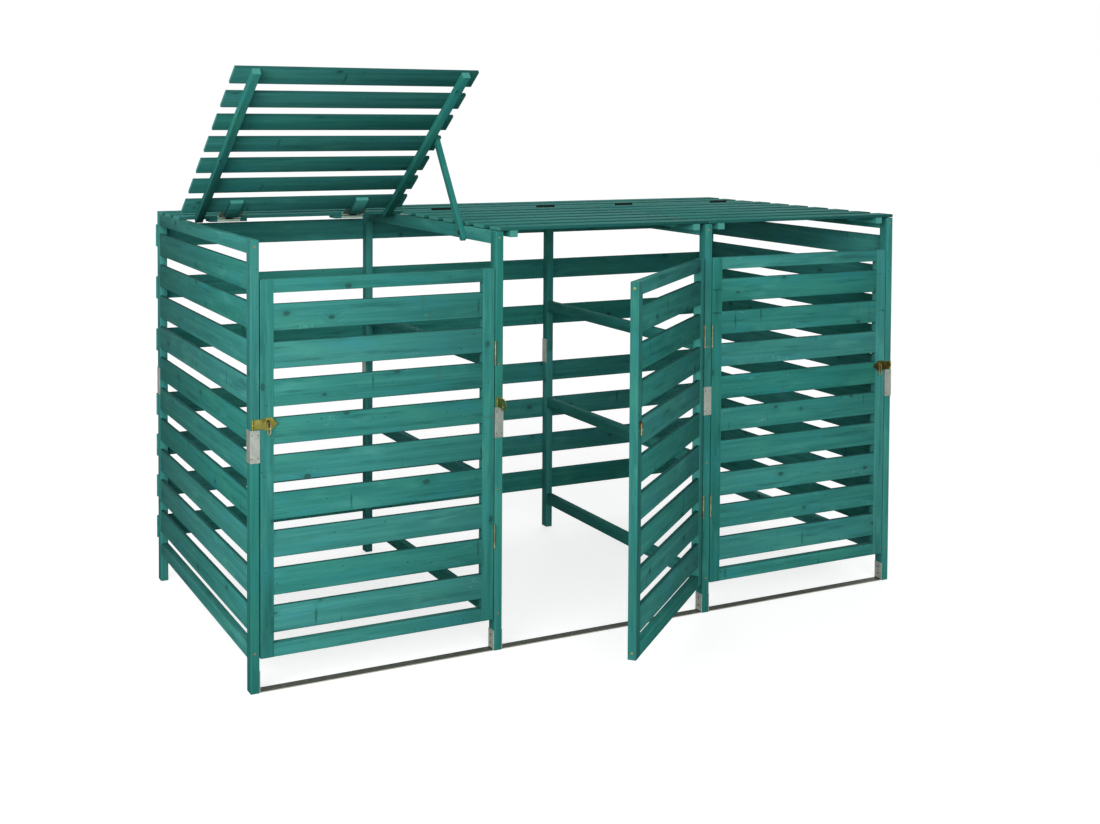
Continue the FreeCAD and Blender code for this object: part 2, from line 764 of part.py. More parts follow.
faults = [item.Label for item in doc.Objects if {"Invalid", "Error"} & set(item.State)]
for item in nodes:
    shape = item.Shape
    if shape.isNull() or not shape.isValid() or not shape.Solids:
        faults.append(item.Label)
if faults:
    raise RuntimeError("faulty: " + ", ".join(faults))

for item in nodes:
    item.Shape.exportStep(f"parts/{item.Label}.step")
print(len(nodes), "pieces written")
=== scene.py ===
"""Looks of the slatted timber bin store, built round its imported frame. Metres, row frame."""

import json
import math

import bmesh
import bpy
import numpy as np
from mathutils import Matrix, Vector

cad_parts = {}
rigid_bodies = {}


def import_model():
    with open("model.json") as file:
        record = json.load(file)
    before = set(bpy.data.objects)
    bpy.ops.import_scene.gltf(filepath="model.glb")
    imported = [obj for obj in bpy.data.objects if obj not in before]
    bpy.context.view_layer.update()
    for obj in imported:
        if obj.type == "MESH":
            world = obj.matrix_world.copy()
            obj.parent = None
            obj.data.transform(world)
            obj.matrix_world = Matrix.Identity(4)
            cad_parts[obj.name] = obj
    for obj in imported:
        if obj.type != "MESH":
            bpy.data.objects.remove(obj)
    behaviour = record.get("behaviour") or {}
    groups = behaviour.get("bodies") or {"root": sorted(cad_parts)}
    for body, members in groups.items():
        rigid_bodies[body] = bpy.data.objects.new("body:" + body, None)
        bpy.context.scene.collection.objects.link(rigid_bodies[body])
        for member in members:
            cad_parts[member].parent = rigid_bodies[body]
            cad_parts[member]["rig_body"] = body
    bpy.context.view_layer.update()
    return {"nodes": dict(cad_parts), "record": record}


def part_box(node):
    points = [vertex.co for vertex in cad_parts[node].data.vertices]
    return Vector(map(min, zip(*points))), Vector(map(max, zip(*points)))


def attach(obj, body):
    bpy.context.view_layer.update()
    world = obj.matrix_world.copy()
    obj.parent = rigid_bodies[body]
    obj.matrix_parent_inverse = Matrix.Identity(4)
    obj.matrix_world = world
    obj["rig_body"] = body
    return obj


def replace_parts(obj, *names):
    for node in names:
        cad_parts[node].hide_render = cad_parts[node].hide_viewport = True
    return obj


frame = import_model()
NODES = frame["nodes"]
SLOT_OF = {part["node"]: part["material_slot"] for part in frame["record"]["subparts"]}
SIDES = ("left", "middle", "right")
MM = 0.001


# Node helpers


class Tree:
    """A material's or world's node tree with short ways to add to it."""

    def __init__(self, owner):
        owner.use_nodes = True
        self.nodes = owner.node_tree.nodes
        self.links = owner.node_tree.links
        self.nodes.clear()

    def add(self, kind, settings=None, **inputs):
        node = self.nodes.new(kind)
        for name, value in (settings or {}).items():
            setattr(node, name, value)
        for name, value in inputs.items():
            key = int(name[1:]) if name[0] == "_" else name.replace("__", " ")
            self.put(node.inputs[key], value)
        return node

    def put(self, socket, value):
        if isinstance(value, bpy.types.NodeSocket):
            self.links.new(value, socket)
        elif isinstance(value, bpy.types.Node):
            self.links.new(value.outputs[0], socket)
        else:
            socket.default_value = value

    def math(self, operation, a, b=0.0, c=0.0, clamp=False):
        settings = {"operation": operation, "use_clamp": clamp}
        return self.add("ShaderNodeMath", settings, _0=a, _1=b, _2=c).outputs[0]

    def product(self, a, b):
        return self.math("MULTIPLY", a, b)

    def mixed(self, colour, other, share, most=1.0):
        """The colour with another one over it, by a share that is scaled to its most."""
        return self.mix(self.product(share, most), colour, linear(other))

    def smooth(self, value, low, high):
        """0 below low, 1 above high; low may be the larger one."""
        settings = {"interpolation_type": "SMOOTHSTEP", "clamp": True}
        if low < high:
            return self.add("ShaderNodeMapRange", settings, _0=value, _1=low, _2=high).outputs[0]
        rising = self.add("ShaderNodeMapRange", settings, _0=value, _1=high, _2=low).outputs[0]
        return self.math("SUBTRACT", 1.0, rising)

    def attribute(self, name, vector=False):
        node = self.add("ShaderNodeAttribute", {"attribute_name": name})
        return node.outputs["Vector" if vector else "Fac"]

    def split(self, vector):
        return self.add("ShaderNodeSeparateXYZ", _0=vector).outputs

    def join(self, x, y, z):
        return self.add("ShaderNodeCombineXYZ", _0=x, _1=y, _2=z).outputs[0]

    def stretch(self, vector, scale):
        settings = {"operation": "MULTIPLY"}
        return self.add("ShaderNodeVectorMath", settings, _0=vector, _1=scale).outputs[0]

    def noise(self, vector, scale=1.0, detail=2.0, roughness=0.5):
        inputs = {"Vector": vector, "Scale": scale, "Detail": detail, "Roughness": roughness}
        return self.add("ShaderNodeTexNoise", **inputs).outputs["Fac"]

    def mix(self, factor, a, b):
        node = self.add("ShaderNodeMix", {"data_type": "RGBA"})
        self.put(node.inputs["Factor"], factor)
        self.put(node.inputs["A"], a)
        self.put(node.inputs["B"], b)
        return node.outputs["Result"]

    def bump(self, height, distance, strength=1.0):
        inputs = {"Height": height, "Distance": distance, "Strength": strength}
        return self.add("ShaderNodeBump", **inputs).outputs[0]

    def surface(self, shader, output="ShaderNodeOutputMaterial"):
        self.put(self.nodes.new(output).inputs["Surface"], shader)


def linear(code):
    """Linear RGBA of a colour written as in a style sheet."""
    parts = [int(code[i : i + 2], 16) / 255 for i in (1, 3, 5)]
    return [p / 12.92 if p <= 0.04045 else ((p + 0.055) / 1.055) ** 2.4 for p in parts] + [1.0]


def grey(value):
    return [value, value, value, 1.0]


# Materials

STAIN = {
    "shade": "#267069",
    "light": "#36857D",
    "blue": "#2C8187",
    "green": "#398776",
    "pale": "#4B998E",
    "ring": "#1B615C",
    "deep": "#144D4A",
    # painted shade for the narrow edges of thin boards
    "edge_shade": "#0B3D3B",
    "fleck": "#5FA79C",
    "knot": "#153A37",
    "knot_pale": "#2E5650",
    "knot_rim": "#123F3C",
    "spike": "#153F3C",
    "spike_pale": "#52665F",
    "pin": "#1B423E",
    "scuff": "#80BFB4",
}

# Kinds of knot: pitch in cells per metre along and across, share of cells, size in cells.
ROUND_KNOTS = ((6.0, 9.0), 0.42, (0.026, 0.034))
SPIKE_KNOTS = ((40.0, 5.0), 0.09, (0.05, 0.05))
PIN_KNOTS = ((26.0, 26.0), 0.12, (0.035, 0.04))

RING_PITCH = 6.5 * MM
PITH_WANDER, RING_RIPPLE = 30 * MM, 2.0 * MM
RING_SWIRL = 8 * MM  # how far the rings bend round a knot
TIMBER_GLOSS = 0.08
GRAIN_DEPTH = 0.22 * MM


def marks(t, along, across, shift, pitch, share, size):
    """Marks scattered on a board's face: distance to the nearest in its own sizes, a flag that
    it is there, and a random value of its own.

    The size is a least value and a random part, in cells.
    """
    place = t.join(
        t.math("MULTIPLY", along, pitch[0]), t.math("MULTIPLY_ADD", across, pitch[1], shift), 0.0
    )
    cells = t.add("ShaderNodeTexVoronoi", {"voronoi_dimensions": "2D"}, Vector=place, Scale=1.0)
    draw = t.split(cells.outputs["Color"])
    shown = t.smooth(draw[0], 1 - share, 1.001 - share)
    spread = t.math("MULTIPLY_ADD", draw[1], size[1], size[0])
    return t.math("DIVIDE", cells.outputs["Distance"], spread), shown, draw[2]


def timber_material():
    """Teal stain on flat-sawn softwood: rings about a pith, fibres, knots and cloudy colour.

    Each board carries its own coordinates: "grain" runs along, across and through it, "board"
    holds its half width, half thickness and a random value, "pith" where its tree's heart lay.
    """
    material = bpy.data.materials.new("stained_timber")
    t = Tree(material)
    grain = t.attribute("grain", vector=True)
    along, across, through = t.split(grain)
    half_width, half_thick, chance = t.split(t.attribute("board", vector=True))
    pith_across, pith_through, reach_left = t.split(t.attribute("pith", vector=True))

    to_side = t.math("SUBTRACT", half_width, t.math("ABSOLUTE", across))
    to_face = t.math("SUBTRACT", half_thick, t.math("ABSOLUTE", through))
    on_face = t.smooth(to_side, 0.3 * MM, 2.5 * MM)

    # Knots: round ones, spikes that cross the board, and pin knots.
    shift = t.product(chance, 37.0)
    wobble = t.noise(t.stretch(grain, (90.0, 90.0, 90.0)), detail=2.0)
    sway = t.math("SUBTRACT", wobble, 0.5)
    bent = t.math("MULTIPLY_ADD", sway, 5 * MM, along)
    skewed = t.math("MULTIPLY_ADD", sway, 4 * MM, across)
    swayed = t.math("MULTIPLY_ADD", sway, 9 * MM, along)
    round_away, round_shown, _ = marks(t, bent, skewed, shift, *ROUND_KNOTS)
    spike_away, spike_shown, spike_chance = marks(t, swayed, across, shift, *SPIKE_KNOTS)
    pin_away, pin_shown, _ = marks(t, along, across, shift, *PIN_KNOTS)
    round_shown, spike_shown, pin_shown = (
        t.product(shown, on_face) for shown in (round_shown, spike_shown, pin_shown)
    )
    knot = t.product(t.smooth(round_away, 1.15, 0.8), round_shown)
    knot_rim = t.product(t.smooth(round_away, 1.6, 1.0), round_shown)
    swirl = t.product(t.smooth(round_away, 5.0, 0.6), round_shown)
    spike = t.product(t.smooth(spike_away, 1.7, 0.5), spike_shown)
    spike_rim = t.product(t.smooth(spike_away, 3.4, 0.8), spike_shown)
    pin = t.product(t.smooth(pin_away, 1.2, 0.6), pin_shown)

    # Rings: distance from the pith, which wanders along the board and bends round the knots.
    wander = t.noise(t.stretch(grain, (1.3, 5.0, 5.0)), detail=2.0)
    ripple = t.noise(t.stretch(grain, (6.0, 45.0, 45.0)), detail=3.0)
    side = t.math("SUBTRACT", across, pith_across)
    depth = t.math("SUBTRACT", through, pith_through)
    squares = t.math("MULTIPLY_ADD", side, side, t.product(depth, depth))
    radius = t.math("MULTIPLY_ADD", wander, PITH_WANDER, t.math("SQRT", squares))
    radius = t.math("MULTIPLY_ADD", ripple, RING_RIPPLE, radius)
    radius = t.math("MULTIPLY_ADD", swirl, RING_SWIRL, radius)
    ring = t.math("FRACT", t.math("DIVIDE", radius, RING_PITCH))
    late = t.product(t.smooth(ring, 0.3, 0.88), t.smooth(ring, 1.0, 0.92))
    clear = t.smooth(t.noise(t.stretch(grain, (1.7, 9.0, 9.0)), detail=2.0), 0.4, 0.66)

    # Fibres and the stain's own unevenness.
    fibre = t.noise(t.stretch(grain, (14.0, 700.0, 700.0)), detail=3.0, roughness=0.6)
    streak = t.noise(t.stretch(grain, (2.2, 60.0, 60.0)), detail=4.0, roughness=0.6)
    cloud = t.noise(t.stretch(grain, (5.0, 15.0, 15.0)), detail=4.0, roughness=0.6)
    pool = t.noise(t.stretch(grain, (7.0, 24.0, 31.0)), detail=3.0)
    smudge = t.noise(t.stretch(grain, (4.0, 40.0, 26.0)), detail=4.0, roughness=0.65)

    colour = t.mix(t.smooth(streak, 0.3, 0.72), linear(STAIN["shade"]), linear(STAIN["light"]))
    colour = t.mixed(colour, STAIN["blue"], t.smooth(cloud, 0.5, 0.72), 0.6)
    colour = t.mixed(colour, STAIN["green"], t.smooth(cloud, 0.48, 0.3), 0.55)
    colour = t.mixed(colour, STAIN["pale"], t.smooth(pool, 0.56, 0.74), 0.4)
    colour = t.mixed(colour, STAIN["ring"], late, t.math("MULTIPLY_ADD", clear, 0.3, 0.05))
    colour = t.mixed(colour, STAIN["deep"], t.smooth(smudge, 0.55, 0.7), 0.5)
    colour = t.mixed(colour, STAIN["fleck"], t.smooth(fibre, 0.6, 0.78), 0.16)
    colour = t.mixed(colour, STAIN["deep"], t.smooth(fibre, 0.42, 0.28), 0.25)

    knot_rings = t.smooth(t.math("FRACT", t.product(round_away, 2.2)), 0.2, 0.9)
    knot_colour = t.mix(knot_rings, linear(STAIN["knot_pale"]), linear(STAIN["knot"]))
    colour = t.mixed(colour, STAIN["ring"], swirl, 0.35)
    colour = t.mixed(colour, STAIN["knot_rim"], knot_rim, 0.55)
    colour = t.mix(t.product(knot, 0.9), colour, knot_colour)
    faded = t.smooth(spike_chance, 0.6, 0.7)
    spike_colour = t.mix(faded, linear(STAIN["spike"]), linear(STAIN["spike_pale"]))
    colour = t.mixed(colour, STAIN["ring"], spike_rim, 0.3)
    colour = t.mix(t.product(spike, 0.7), colour, spike_colour)
    colour = t.mixed(colour, STAIN["pin"], pin, 0.8)

    # Dry scuffs in a few places.
    patch = t.smooth(t.noise(t.stretch(grain, (9.0, 22.0, 22.0)), detail=2.0), 0.66, 0.74)
    lines = t.smooth(t.noise(t.stretch(grain, (160.0, 420.0, 420.0)), detail=2.0), 0.54, 0.68)
    colour = t.mixed(colour, STAIN["scuff"], patch, t.product(lines, 0.4))

    # Each board took the stain a little differently.
    tone = t.add("ShaderNodeHueSaturation", Color=colour)
    t.put(tone.inputs["Value"], t.add("ShaderNodeMapRange", _0=chance, _3=0.92, _4=1.1))
    t.put(tone.inputs["Saturation"], t.add("ShaderNodeMapRange", _0=chance, _3=1.04, _4=0.95))
    t.put(tone.inputs["Hue"], t.add("ShaderNodeMapRange", _0=chance, _3=0.494, _4=0.506))
    colour = tone.outputs[0]

    # The narrow edges of thin boards carry painted shade, arrises are a little rubbed and carry a
    # painted highlight, and sawn ends carry a painted highlight.
    thin = t.smooth(half_thick, 8 * MM, 6 * MM)
    # painted shade along the narrow edges of thin boards
    edge_shade = t.product(thin, t.smooth(to_side, 2.2 * MM, 0.6 * MM))
    colour = t.mixed(colour, STAIN["edge_shade"], edge_shade, 0.75)
    edge = t.math("SUBTRACT", t.math("ADD", to_side, to_face), t.product(pool, 1.8 * MM))
    # rubbed arrises: partly wear, partly a painted highlight along the arrises
    rubbed = t.product(t.smooth(edge, 0.5 * MM, -0.4 * MM), 0.3)
    colour = t.mixed(colour, STAIN["fleck"], rubbed, t.math("SUBTRACT", 1.0, edge_shade))
    # painted highlight on the sawn ends, over their pores
    sawn = t.smooth(reach_left, 0.6 * MM, 0.1 * MM)
    pores = t.noise(t.stretch(grain, (500.0, 900.0, 900.0)), detail=2.0)
    end_highlight_colour = t.mix(t.smooth(pores, 0.35, 0.65), linear(STAIN["light"]), linear(STAIN["fleck"]))
    colour = t.mix(t.product(sawn, 0.75), colour, end_highlight_colour)

    roughness = t.math("MULTIPLY_ADD", late, -0.1, 0.8)
    height = t.math("MULTIPLY_ADD", fibre, 0.7, t.product(late, 0.4))
    height = t.math("MULTIPLY_ADD", knot, 0.4, height)
    height = t.math("MULTIPLY_ADD", spike, -0.6, height)
    shader = t.add(
        "ShaderNodeBsdfPrincipled",
        Base__Color=colour,
        Roughness=roughness,
        Normal=t.bump(height, GRAIN_DEPTH, 0.5),
    )
    shader.inputs["Specular IOR Level"].default_value = TIMBER_GLOSS
    t.surface(shader)
    return material


GRIME, GREASED_AND_SHADED = "#4A4C44", "#141B1A"


def metal_material(name, main, other, rough, spots, tint_scale, stain=None, dirt=0.3):
    """Plated sheet metal whose plating varies between two colours, with fine rolling marks.

    A stain is a place in depth and a height, in metres, about which grease and painted
    shade darken the metal, how far it reaches, and the place across from which it begins.
    """
    material = bpy.data.materials.new(name)
    t = Tree(material)
    place = t.add("ShaderNodeTexCoord").outputs["Object"]
    cells = t.add("ShaderNodeTexVoronoi", Vector=place, Scale=spots).outputs["Color"]
    patch = t.split(cells)[0]
    drift = t.noise(place, tint_scale, 3.0)
    blend = t.math("MULTIPLY_ADD", patch, 0.2, t.product(drift, 0.85))
    colour = t.mix(t.smooth(blend, 0.3, 0.8), linear(main), linear(other))
    rolled = t.noise(t.stretch(place, (260.0, 260.0, 1400.0)), detail=3.0, roughness=0.7)
    grime = t.smooth(t.noise(place, 38.0, 4.0, 0.65), 0.5, 0.75)
    colour = t.mixed(colour, GRIME, grime, dirt)
    roughness = t.math("MULTIPLY_ADD", rolled, 0.1, rough)
    roughness = t.math("MULTIPLY_ADD", patch, 0.08, roughness)
    if stain:
        dark_y, dark_z, reach, from_x = stain
        x, y, z = t.split(place)
        off_y, off_z = t.math("SUBTRACT", y, dark_y), t.math("SUBTRACT", z, dark_z)
        squares = t.math("MULTIPLY_ADD", off_y, off_y, t.product(off_z, off_z))
        near = t.smooth(t.math("SQRT", squares), reach, reach * 0.7)
        near = t.product(near, t.smooth(x, from_x, from_x + 1 * MM))
        # grease and painted shade round a hinge's knuckle
        colour = t.mixed(colour, GREASED_AND_SHADED, near, 0.96)
        roughness = t.math("MULTIPLY_ADD", near, 0.3, roughness)
    shader = t.add(
        "ShaderNodeBsdfPrincipled",
        Base__Color=colour,
        Metallic=1.0,
        Roughness=roughness,
        Normal=t.bump(rolled, 0.03 * MM, 0.5),
    )
    t.surface(shader)
    return material


SILL = {
    "paint": "#31382F",
    "paint_pale": "#444A3D",
    "dust": "#7E7D6C",
    "rubbed": "#B9B7A8",
    "zinc": "#8F968C",
    "zinc_pale": "#B3B9AF",
}


def sill_material(front_edge):
    """Flat bar: dark olive paint where it lies, bare at its front edge and its upright ends."""
    material = bpy.data.materials.new("sill_steel")
    t = Tree(material)
    place = t.add("ShaderNodeTexCoord").outputs["Object"]
    _, y, z = t.split(place)
    rub = t.noise(t.stretch(place, (18.0, 90.0, 300.0)), detail=4.0, roughness=0.65)
    from_edge = t.math("SUBTRACT", y, front_edge)
    rubbed = t.smooth(t.math("MULTIPLY_ADD", rub, -1.6 * MM, from_edge), 0.6 * MM, 0)
    dust = t.smooth(t.noise(place, 60.0, 4.0, 0.6), 0.48, 0.7)
    bare = t.smooth(t.math("MULTIPLY_ADD", rub, -8 * MM, z), 0, 3 * MM)
    zinc = t.mix(t.smooth(rub, 0.35, 0.65), linear(SILL["zinc"]), linear(SILL["zinc_pale"]))
    colour = t.mix(rub, linear(SILL["paint"]), linear(SILL["paint_pale"]))
    colour = t.mixed(colour, SILL["dust"], dust, 0.3)
    colour = t.mixed(colour, SILL["rubbed"], rubbed, 0.8)
    colour = t.mix(t.product(bare, 0.9), colour, zinc)
    shader = t.add(
        "ShaderNodeBsdfPrincipled",
        Base__Color=colour,
        Roughness=t.math("MULTIPLY_ADD", rub, 0.2, 0.42),
        Normal=t.bump(rub, 0.08 * MM, 0.6),
    )
    t.surface(shader)
    return material


LID_AXIS_Y, LID_AXIS_Z = 801.044 * MM, 1258 * MM
LEFT_BAY_END = -0.37
BEYOND_LEFT = -2.0
# grease and painted shade round the knuckles of the lid and roof hinges
LID_GREASE_AND_SHADE = (LID_AXIS_Y, LID_AXIS_Z, 8 * MM, BEYOND_LEFT)
ROOF_GREASE_AND_SHADE = (LID_AXIS_Y, LID_AXIS_Z, 34 * MM, LEFT_BAY_END)

# Two colours of the plating, its roughness, the scales of its spots and of its drift in
# colour, then, where set, the grease and painted shade round a knuckle and the grime's strength.
PLATINGS = {
    "galvanised": ("#ADB5AC", "#BFC6BD", 0.45, 160.0, 30.0, None, 0.12),
    "hinge_steel": ("#7C7D5E", "#B4B593", 0.34, 90.0, 45.0),
    "lid_hinge": ("#8FA596", "#A9BBAA", 0.4, 90.0, 45.0, LID_GREASE_AND_SHADE),
    "roof_hinge": ("#8FA596", "#A9BBAA", 0.5, 90.0, 45.0, ROOF_GREASE_AND_SHADE),
    "hasp_brass": ("#85823A", "#ABA659", 0.36, 70.0, 55.0),
    "hasp_staple": ("#403B1E", "#8C8646", 0.4, 90.0, 120.0),
    "hasp_link": ("#A8A06A", "#D6D0A6", 0.3, 90.0, 90.0),
    "hasp_tarnished": ("#403A1C", "#5E5528", 0.42, 70.0, 55.0),
    "screw_brass": ("#8C7350", "#AE946C", 0.4, 300.0, 200.0),
    "nail_steel": ("#38413C", "#505A53", 0.5, 300.0, 200.0),
}
MATERIALS = {
    "stained_timber": timber_material(),
    "sill_steel": sill_material(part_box("sills")[0].y),
    **{name: metal_material(name, *look) for name, look in PLATINGS.items()},
}


# Pieces


def put_in_scene(name, data):
    """An object with a mesh, a lamp or a camera, linked to the scene."""
    item = bpy.data.objects.new(name, data)
    bpy.context.scene.collection.objects.link(item)
    return item


def mesh_from(bm, name):
    """A mesh with the bmesh's contents; the bmesh is freed."""
    mesh = bpy.data.meshes.new(name)
    bm.to_mesh(mesh)
    bm.free()
    return mesh


def new_piece(name, mesh, body, slot, material=None):
    """A piece that rides a body, in the slot's material or another."""
    piece = put_in_scene(name, mesh)
    mesh.materials.clear()
    mesh.materials.append(MATERIALS[material or slot])
    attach(piece, body)
    return piece


def welded(node):
    """A bmesh copy of a node's mesh, with the seams between its faces closed."""
    bm = bmesh.new()
    bm.from_mesh(NODES[node].data)
    bmesh.ops.remove_doubles(bm, verts=bm.verts, dist=0.005 * MM)
    return bm


def islands(bm):
    """Lists of faces that make one solid each, in a steady order.

    Boards that butt share points and edges; an edge where two solids meet has four faces.
    """
    bm.faces.ensure_lookup_table()
    left = set(range(len(bm.faces)))
    found = []
    for start in range(len(bm.faces)):
        if start not in left:
            continue
        left.discard(start)
        group, queue = [start], [start]
        while queue:
            for edge in bm.faces[queue.pop()].edges:
                if len(edge.link_faces) != 2:
                    continue
                for face in edge.link_faces:
                    if face.index in left:
                        left.discard(face.index)
                        group.append(face.index)
                        queue.append(face.index)
        found.append([bm.faces[i] for i in sorted(group)])
    return found


def board_axes(faces):
    """Grain, width and thickness directions of one board, and its centre and half sizes."""
    areas = {}
    for face in faces:
        key = tuple(round(abs(value), 2) for value in face.normal)
        area, direction = areas.get(key, (0.0, face.normal.copy()))
        areas[key] = (area + face.calc_area(), direction)
    thickness = max(areas.values(), key=lambda item: item[0])[1].normalized()
    flat = [face.normal for face in faces if abs(face.normal.dot(thickness)) < 0.01]
    points = np.array([vert.co for face in faces for vert in face.verts])
    spans = [(float(np.ptp(points @ np.array(axis))), axis) for axis in flat]
    grain = max(spans, key=lambda item: round(item[0], 5))[1].normalized()
    width = thickness.cross(grain).normalized()
    axes = np.array([grain, width, thickness])
    places = points @ axes.T
    low, high = places.min(0), places.max(0)
    return axes, (low + high) / 2, (high - low) / 2


ARRIS = 1.6 * MM
END_EASE = 0.5 * MM
CORNER_STEPS = 3
PATTERN_LENGTH = 40  # metres of grain out of which each board gets its own stretch
PITH_ASIDE, PITH_DEPTHS = 30, (15, 60)  # millimetres from a board's middle to its tree's heart
STICK_PITH = (12 * MM, -25 * MM)
STICK_EASE, METAL_EASE = 0.8 * MM, 0.25 * MM
CREASE = math.radians(40)
FLAT = math.radians(1)


def eased_section(half_width, half_thick, ease):
    """Rectangle with round corners, as (width, thickness) points in order."""
    points = []
    for quarter, (sx, sy) in enumerate(((1, 1), (-1, 1), (-1, -1), (1, -1))):
        for step in range(CORNER_STEPS + 1):
            angle = math.radians(90 * quarter + 90 * step / CORNER_STEPS)
            x = sx * (half_width - ease) + ease * math.cos(angle)
            y = sy * (half_thick - ease) + ease * math.sin(angle)
            points.append((x, y))
    return points


def set_coordinates(mesh, grain, board, pith):
    """Stores the coordinates that the timber material reads, a row for each point."""
    for word, rows in (("grain", grain), ("board", board), ("pith", pith)):
        layer = mesh.attributes.new(word, "FLOAT_VECTOR", "POINT")
        layer.data.foreach_set("vector", np.array(rows, np.float32).ravel())


class Boards:
    """Gathers boards into one mesh with the coordinates that the timber material reads."""

    def __init__(self, seed):
        self.verts, self.faces, self.smooth = [], [], []
        self.grain, self.board, self.pith = [], [], []
        self.draw = np.random.default_rng(seed)

    def add(self, axes, centre, half):
        """Adds a board with eased ends and round arrises, and draws its place in the tree."""
        length, width, thick = half
        chance = self.draw.random()
        offset = self.draw.uniform(0, PATTERN_LENGTH)
        pith_side = self.draw.uniform(-1, 1) * PITH_ASIDE * MM
        pith_depth = self.draw.uniform(*PITH_DEPTHS) * MM
        pith_depth *= -1 if self.draw.random() < 0.5 else 1
        rings = [(-length, END_EASE), (-length + END_EASE, 0)]
        rings += [(length - END_EASE, 0), (length, END_EASE)]
        start, count = len(self.verts), 4 * (CORNER_STEPS + 1)
        for place, inset in rings:
            for across, through in eased_section(width - inset, thick - inset, ARRIS - inset):
                local = np.array([place, across, through])
                self.verts.append((centre + local) @ axes)
                self.grain.append((place + offset, across, through))
                self.board.append((width, thick, chance))
                self.pith.append((pith_side, pith_depth, length - abs(place)))
        for ring in range(len(rings) - 1):
            for i in range(count):
                j = (i + 1) % count
                a, b = start + ring * count, start + (ring + 1) * count
                self.faces.append((a + i, a + j, b + j, b + i))
                self.smooth.append(True)
        self.faces.append(tuple(start + i for i in reversed(range(count))))
        last = start + (len(rings) - 1) * count
        self.faces.append(tuple(last + i for i in range(count)))
        self.smooth += [False, False]

    def mesh(self, name):
        """The gathered boards as one mesh."""
        mesh = bpy.data.meshes.new(name)
        mesh.from_pydata([tuple(v) for v in self.verts], [], self.faces)
        mesh.polygons.foreach_set("use_smooth", self.smooth)
        set_coordinates(mesh, self.grain, self.board, self.pith)
        bm = bmesh.new()
        bm.from_mesh(mesh)
        bmesh.ops.recalc_face_normals(bm, faces=bm.faces)
        bm.to_mesh(mesh)
        bm.free()
        return mesh


def body_of_node(node):
    """The body that a node rides."""
    return NODES[node]["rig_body"]


def dress_timber(node, seed):
    """Replaces a node of straight boards by boards with round arrises and their own grain."""
    bm = welded(node)
    boards = Boards(seed)
    for faces in islands(bm):
        boards.add(*board_axes(faces))
    bm.free()
    piece = new_piece(f"timber_{node}", boards.mesh(node), body_of_node(node), "stained_timber")
    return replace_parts(piece, node)


def dress_stick(node, seed):
    """A notched stick keeps its own shape and gets eased edges and the board coordinates."""
    bm = welded(node)
    bmesh.ops.dissolve_limit(bm, angle_limit=FLAT, verts=bm.verts, edges=bm.edges)
    axes, centre, half = board_axes(list(bm.faces))
    sharp = [edge for edge in bm.edges if edge.calc_face_angle(0) > CREASE]
    bmesh.ops.bevel(bm, geom=sharp, offset=STICK_EASE, segments=2, affect="EDGES", profile=0.5)
    mesh = mesh_from(bm, node)
    draw = np.random.default_rng(seed)
    chance, offset = draw.random(), draw.uniform(0, PATTERN_LENGTH)
    local = np.array([vert.co for vert in mesh.vertices]) @ axes.T - centre
    grain = local + np.array([offset, 0, 0])
    board = np.tile([half[1], half[2], chance], (len(local), 1))
    pith = np.column_stack([np.tile(STICK_PITH, (len(local), 1)), half[0] - abs(local[:, 0])])
    set_coordinates(mesh, grain, board, pith)
    piece = new_piece(f"timber_{node}", mesh, body_of_node(node), "stained_timber")
    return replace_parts(piece, node)


def metal_of(node):
    """Name of the material on a metal node."""
    if node == "roof_hinge_leaves":
        return "roof_hinge"
    if node.startswith("lid_"):
        return "lid_hinge"
    if node == "hasp_right":
        return "hasp_tarnished"
    if node == "prop_bolts":
        return "nail_steel"
    if node.endswith("_staple"):
        return "hasp_staple"
    if node.endswith("_link"):
        return "hasp_link"
    return SLOT_OF[node]


def dress_metal(node):
    """A metal node with its pressed or sawn edges eased."""
    bm = welded(node)
    bmesh.ops.dissolve_limit(bm, angle_limit=FLAT, verts=bm.verts, edges=bm.edges)
    mesh = mesh_from(bm, node)
    piece = new_piece(f"metal_{node}", mesh, body_of_node(node), SLOT_OF[node], metal_of(node))
    bevel = piece.modifiers.new("edges", "BEVEL")
    bevel.width = METAL_EASE
    bevel.segments = 2
    bevel.limit_method = "ANGLE"
    bevel.angle_limit = CREASE
    bevel.harden_normals = True
    for polygon in mesh.polygons:
        polygon.use_smooth = True
    mesh.set_sharp_from_angle(angle=CREASE)
    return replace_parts(piece, node)


for number, node in enumerate(sorted(NODES)):
    if SLOT_OF[node] != "stained_timber":
        dress_metal(node)
    elif node.startswith("prop_"):
        dress_stick(node, number)
    else:
        dress_timber(node, number)


# Fixings: screws, nails and the hinges' upstands


def boards_of(node):
    """Axes, centre and half sizes of each board in a node."""
    bm = welded(node)
    found = [board_axes(faces) for faces in islands(bm)]
    bm.free()
    return found


LYING_GAP = 3 * MM
FRAME_SPREAD, LID_SPREAD = 0.5, 0.45


def crossings(boards, carriers, spread):
    """Pairs of fixings, on the open face, where boards lie on the pieces that carry them.

    The spread is the share of a board's half width from its middle to each fixing.
    """
    places = []
    for axes, centre, half in boards:
        for other_axes, other_centre, other_half in carriers:
            offset = axes @ (other_centre @ other_axes) - centre
            reach = abs(axes @ other_axes.T) @ other_half
            if abs(offset[0]) > half[0] or abs(offset[1]) > half[1] + reach[1]:
                continue
            if abs(offset[2]) > half[2] + reach[2] + LYING_GAP:
                continue
            side = -1 if offset[2] > 0 else 1
            for across in (-spread, spread):
                local = centre + np.array([offset[0], across * half[1], side * half[2]])
                places.append((local @ axes, side * axes[2]))
    return places


HEAD_STEPS = 16
HEAD_RINGS = ((0.28, 1.0), (0.55, 0.92), (0.8, 0.68), (1.0, 0.3))  # shares of radius and rise
CROSS_REACH = 0.6  # share of the radius
HEAD_CREASE = math.radians(50)
SUNK = -1.0 * MM

